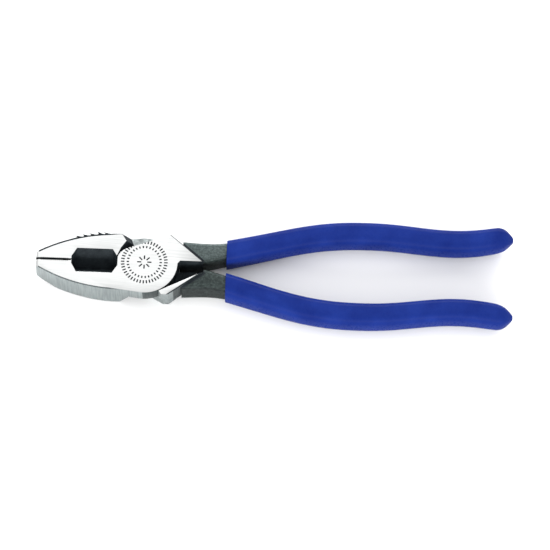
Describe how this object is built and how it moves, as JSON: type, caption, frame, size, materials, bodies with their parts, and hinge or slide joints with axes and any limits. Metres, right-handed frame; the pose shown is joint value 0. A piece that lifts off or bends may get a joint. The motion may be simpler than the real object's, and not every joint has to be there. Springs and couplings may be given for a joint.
{
  "type": "lineman pliers",
  "caption": "Side-cutting lineman pliers with a riveted lap joint, toothed gripping jaws, a wire cutter, a tape channel and dipped vinyl grips.",
  "frame": {"origin": "on the rivet's axis, in the plane of the back face that the closed pliers lie on", "axes": "+X from the rivet towards the handles' ends, +Z out of the front face along the rivet, +Y towards the upper handle"},
  "size_m": [0.2385, 0.0566, 0.0159],
  "materials": {
    "forged_steel": "ground and polished faces on a black forged body",
    "rivet_steel": "ground flush with the faces",
    "grip_vinyl": "glossy dipped vinyl"
  },
  "bodies": {
    "rear_side": {"rear_half": "forged_steel", "lower_grip": "grip_vinyl"},
    "front_side": {"front_half": "forged_steel", "hinge_rivet": "rivet_steel", "upper_grip": "grip_vinyl"}
  },
  "joints": [
    {"name": "jaw_hinge", "type": "hinge", "parent": "rear_side", "child": "front_side", "pos_m": [0, 0, 0], "axis": [0, 0, 1], "range_deg": [0, 45]}
  ]
}
